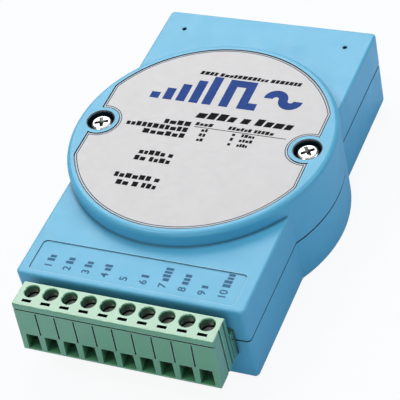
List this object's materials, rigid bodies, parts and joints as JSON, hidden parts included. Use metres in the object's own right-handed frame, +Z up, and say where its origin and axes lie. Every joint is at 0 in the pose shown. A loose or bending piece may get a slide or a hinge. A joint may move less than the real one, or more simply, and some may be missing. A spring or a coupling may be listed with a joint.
{
  "type": "bus output module",
  "caption": "Light blue industrial output module: rectangular two-shell case with a round raised face, a green plug-in screw terminal row at one end and captive mounting screws.",
  "frame": {"origin": "on the flat base, where the round drum's axis meets it", "axes": "+Z up out of the base through the face label, -Y towards the terminal row, +X across the case with pole 10 on the +X side"},
  "size_m": [0.07, 0.112, 0.028],
  "materials": {
    "case_plastic": "light blue ABS, fine satin texture",
    "label_film": "satin silver-grey polyester film, printed in dark ink",
    "rating_film": "satin silver polyester film",
    "nickel_screw": "nickel-plated steel, bright",
    "zinc_screw": "zinc-plated steel, satin",
    "ring_nylon": "natural nylon",
    "terminal_plastic": "green polyamide, semi-gloss",
    "clamp_screw_steel": "zinc-plated steel, slotted",
    "cage_brass": "nickel-plated brass",
    "contact_metal": "tin-plated copper alloy",
    "pin_metal": "tin-plated brass pins",
    "board_laminate": "green solder mask on glass-epoxy laminate",
    "ferrite": "sintered ferrite, matt dark grey",
    "winding_tape": "yellow polyester tape over copper wire on a bobbin",
    "choke_sleeve": "black heat-shrink sleeve over a wound ferrite drum",
    "capacitor_sleeve": "aluminium can in a dark blue vinyl sleeve",
    "diode_epoxy": "black moulded epoxy with tinned leads",
    "chip_epoxy": "black moulded epoxy with tinned legs",
    "socket_plastic": "brown glass-filled polyester",
    "crystal_can": "nickel-plated steel can",
    "optocoupler_epoxy": "off-white moulded epoxy with tinned legs",
    "varistor_coating": "blue epoxy coating",
    "resistor_coating": "beige lacquer with colour bands",
    "ceramic_coating": "ochre epoxy dip"
  },
  "bodies": {
    "module": {"upper_case": "case_plastic", "lower_case": "case_plastic", "face_label": "label_film", "rating_label": "rating_film", "case_screws": "zinc_screw", "circuit_board": "board_laminate", "pin_header": "terminal_plastic", "header_pins": "pin_metal", "isolation_transformer_core": "ferrite", "isolation_transformer_winding": "winding_tape", "storage_choke": "choke_sleeve", "electrolytic_capacitors": "capacitor_sleeve", "rectifier_diodes": "diode_epoxy", "microcontroller": "chip_epoxy", "chip_socket": "socket_plastic", "crystal": "crystal_can", "program_memory": "chip_epoxy", "watchdog_chip": "chip_epoxy", "converter_chip": "chip_epoxy", "optocouplers": "optocoupler_epoxy", "output_amplifier": "chip_epoxy", "bus_transceiver": "chip_epoxy", "surge_suppressors": "varistor_coating", "resistors": "resistor_coating", "ceramic_capacitors": "ceramic_coating"},
    "terminal_plug": {"plug_housing": "terminal_plastic", "plug_contacts": "contact_metal"},
    "clamp_1_screw": {"clamp_screw_1": "clamp_screw_steel"},
    "clamp_1_cage": {"clamp_cage_1": "cage_brass"},
    "clamp_2_screw": {"clamp_screw_2": "clamp_screw_steel"},
    "clamp_2_cage": {"clamp_cage_2": "cage_brass"},
    "clamp_3_screw": {"clamp_screw_3": "clamp_screw_steel"},
    "clamp_3_cage": {"clamp_cage_3": "cage_brass"},
    "clamp_4_screw": {"clamp_screw_4": "clamp_screw_steel"},
    "clamp_4_cage": {"clamp_cage_4": "cage_brass"},
    "clamp_5_screw": {"clamp_screw_5": "clamp_screw_steel"},
    "clamp_5_cage": {"clamp_cage_5": "cage_brass"},
    "clamp_6_screw": {"clamp_screw_6": "clamp_screw_steel"},
    "clamp_6_cage": {"clamp_cage_6": "cage_brass"},
    "clamp_7_screw": {"clamp_screw_7": "clamp_screw_steel"},
    "clamp_7_cage": {"clamp_cage_7": "cage_brass"},
    "clamp_8_screw": {"clamp_screw_8": "clamp_screw_steel"},
    "clamp_8_cage": {"clamp_cage_8": "cage_brass"},
    "clamp_9_screw": {"clamp_screw_9": "clamp_screw_steel"},
    "clamp_9_cage": {"clamp_cage_9": "cage_brass"},
    "clamp_10_screw": {"clamp_screw_10": "clamp_screw_steel"},
    "clamp_10_cage": {"clamp_cage_10": "cage_brass"},
    "left_ring": {"retaining_ring_left": "ring_nylon"},
    "left_mounting_screw": {"mounting_screw_left": "nickel_screw"},
    "right_ring": {"retaining_ring_right": "ring_nylon"},
    "right_mounting_screw": {"mounting_screw_right": "nickel_screw"}
  },
  "joints": [
    {"name": "plug_slide", "type": "slide", "parent": "module", "child": "terminal_plug", "axis": [0, -1, 0], "range_m": [0, 0.012]},
    {"name": "clamp_1_turn", "type": "hinge", "parent": "terminal_plug", "child": "clamp_1_screw", "pos_m": [-0.02286, -0.0554, 0.0194], "axis": [0, 0, -1], "range_deg": [0, 1730]},
    {"name": "clamp_1_rise", "type": "slide", "parent": "terminal_plug", "child": "clamp_1_cage", "axis": [0, 0, 1], "range_m": [0, 0.0024]},
    {"name": "clamp_2_turn", "type": "hinge", "parent": "terminal_plug", "child": "clamp_2_screw", "pos_m": [-0.01778, -0.0554, 0.0194], "axis": [0, 0, -1], "range_deg": [0, 1730]},
    {"name": "clamp_2_rise", "type": "slide", "parent": "terminal_plug", "child": "clamp_2_cage", "axis": [0, 0, 1], "range_m": [0, 0.0024]},
    {"name": "clamp_3_turn", "type": "hinge", "parent": "terminal_plug", "child": "clamp_3_screw", "pos_m": [-0.0127, -0.0554, 0.0194], "axis": [0, 0, -1], "range_deg": [0, 1730]},
    {"name": "clamp_3_rise", "type": "slide", "parent": "terminal_plug", "child": "clamp_3_cage", "axis": [0, 0, 1], "range_m": [0, 0.0024]},
    {"name": "clamp_4_turn", "type": "hinge", "parent": "terminal_plug", "child": "clamp_4_screw", "pos_m": [-0.00762, -0.0554, 0.0194], "axis": [0, 0, -1], "range_deg": [0, 1730]},
    {"name": "clamp_4_rise", "type": "slide", "parent": "terminal_plug", "child": "clamp_4_cage", "axis": [0, 0, 1], "range_m": [0, 0.0024]},
    {"name": "clamp_5_turn", "type": "hinge", "parent": "terminal_plug", "child": "clamp_5_screw", "pos_m": [-0.00254, -0.0554, 0.0194], "axis": [0, 0, -1], "range_deg": [0, 1730]},
    {"name": "clamp_5_rise", "type": "slide", "parent": "terminal_plug", "child": "clamp_5_cage", "axis": [0, 0, 1], "range_m": [0, 0.0024]},
    {"name": "clamp_6_turn", "type": "hinge", "parent": "terminal_plug", "child": "clamp_6_screw", "pos_m": [0.00254, -0.0554, 0.0194], "axis": [0, 0, -1], "range_deg": [0, 1730]},
    {"name": "clamp_6_rise", "type": "slide", "parent": "terminal_plug", "child": "clamp_6_cage", "axis": [0, 0, 1], "range_m": [0, 0.0024]},
    {"name": "clamp_7_turn", "type": "hinge", "parent": "terminal_plug", "child": "clamp_7_screw", "pos_m": [0.00762, -0.0554, 0.0194], "axis": [0, 0, -1], "range_deg": [0, 1730]},
    {"name": "clamp_7_rise", "type": "slide", "parent": "terminal_plug", "child": "clamp_7_cage", "axis": [0, 0, 1], "range_m": [0, 0.0024]},
    {"name": "clamp_8_turn", "type": "hinge", "parent": "terminal_plug", "child": "clamp_8_screw", "pos_m": [0.0127, -0.0554, 0.0194], "axis": [0, 0, -1], "range_deg": [0, 1730]},
    {"name": "clamp_8_rise", "type": "slide", "parent": "terminal_plug", "child": "clamp_8_cage", "axis": [0, 0, 1], "range_m": [0, 0.0024]},
    {"name": "clamp_9_turn", "type": "hinge", "parent": "terminal_plug", "child": "clamp_9_screw", "pos_m": [0.01778, -0.0554, 0.0194], "axis": [0, 0, -1], "range_deg": [0, 1730]},
    {"name": "clamp_9_rise", "type": "slide", "parent": "terminal_plug", "child": "clamp_9_cage", "axis": [0, 0, 1], "range_m": [0, 0.0024]},
    {"name": "clamp_10_turn", "type": "hinge", "parent": "terminal_plug", "child": "clamp_10_screw", "pos_m": [0.02286, -0.0554, 0.0194], "axis": [0, 0, -1], "range_deg": [0, 1730]},
    {"name": "clamp_10_rise", "type": "slide", "parent": "terminal_plug", "child": "clamp_10_cage", "axis": [0, 0, 1], "range_m": [0, 0.0024]},
    {"name": "left_mount_advance", "type": "slide", "parent": "module", "child": "left_ring", "axis": [0, 0, -1], "range_m": [0, 0.005]},
    {"name": "left_mount_turn", "type": "hinge", "parent": "left_ring", "child": "left_mounting_screw", "pos_m": [-0.02855, 0, 0.0249], "axis": [0, 0, -1], "range_deg": [0, 3602]},
    {"name": "right_mount_advance", "type": "slide", "parent": "module", "child": "right_ring", "axis": [0, 0, -1], "range_m": [0, 0.005]},
    {"name": "right_mount_turn", "type": "hinge", "parent": "right_ring", "child": "right_mounting_screw", "pos_m": [0.02855, 0, 0.0249], "axis": [0, 0, -1], "range_deg": [0, 3602]}
  ],
  "couplings": [
    {"joint": "clamp_1_turn", "follows": "clamp_1_rise", "rad_per_m": 12566},
    {"joint": "clamp_2_turn", "follows": "clamp_2_rise", "rad_per_m": 12566},
    {"joint": "clamp_3_turn", "follows": "clamp_3_rise", "rad_per_m": 12566},
    {"joint": "clamp_4_turn", "follows": "clamp_4_rise", "rad_per_m": 12566},
    {"joint": "clamp_5_turn", "follows": "clamp_5_rise", "rad_per_m": 12566},
    {"joint": "clamp_6_turn", "follows": "clamp_6_rise", "rad_per_m": 12566},
    {"joint": "clamp_7_turn", "follows": "clamp_7_rise", "rad_per_m": 12566},
    {"joint": "clamp_8_turn", "follows": "clamp_8_rise", "rad_per_m": 12566},
    {"joint": "clamp_9_turn", "follows": "clamp_9_rise", "rad_per_m": 12566},
    {"joint": "clamp_10_turn", "follows": "clamp_10_rise", "rad_per_m": 12566},
    {"joint": "left_mount_turn", "follows": "left_mount_advance", "rad_per_m": 12566},
    {"joint": "right_mount_turn", "follows": "right_mount_advance", "rad_per_m": 12566}
  ]
}
